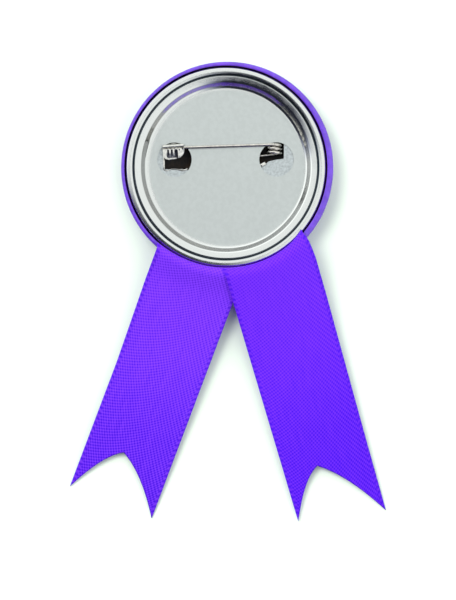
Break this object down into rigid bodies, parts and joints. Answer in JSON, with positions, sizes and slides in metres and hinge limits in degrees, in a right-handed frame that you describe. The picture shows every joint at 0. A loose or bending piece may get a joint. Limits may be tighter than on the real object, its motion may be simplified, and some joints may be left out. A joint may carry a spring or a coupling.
{
  "type": "award ribbon",
  "caption": "Round pin-back award badge with a domed film-covered front, a beaded tin back with a spring-wire pin, and two swallow-tailed satin ribbon tails.",
  "frame": {"origin": "middle of the domed front, where the badge rests face down", "axes": "+Z out of the badge's back along its axis, -Y along the tails, +X to the right seen from the back"},
  "size_m": [0.0867, 0.1259, 0.0089],
  "materials": {
    "purple_film": "clear glossy film over a purple printed disc",
    "purple_paper": "smooth coated paper, printed purple",
    "tinplate": "pressed tinplate, satin in the flat and bright on the bead",
    "pin_steel": "nickel-plated spring steel",
    "purple_satin": "single-face polyester satin with woven selvedges"
  },
  "bodies": {
    "badge": {"cover_film": "purple_film", "cover_paper": "purple_paper", "front_shell": "tinplate", "back_plate": "tinplate", "pin_strip": "pin_steel", "pin_coil": "pin_steel", "ribbon_left_root": "purple_satin", "ribbon_right_root": "purple_satin"},
    "pin": {"pin_arm": "pin_steel"},
    "tails": {"ribbon_left_tail": "purple_satin", "ribbon_right_tail": "purple_satin"}
  },
  "joints": [
    {"name": "pin_swing", "type": "hinge", "parent": "badge", "child": "pin", "pos_m": [0.0104, 0.00628, 0.00675], "axis": [-0.7, 0.12, 0.704], "range_deg": [0, 90]},
    {"name": "tails_lift", "type": "hinge", "parent": "badge", "child": "tails", "pos_m": [0, -0.03, 0.0092], "axis": [-1, 0, 0], "range_deg": [0, 60]}
  ]
}
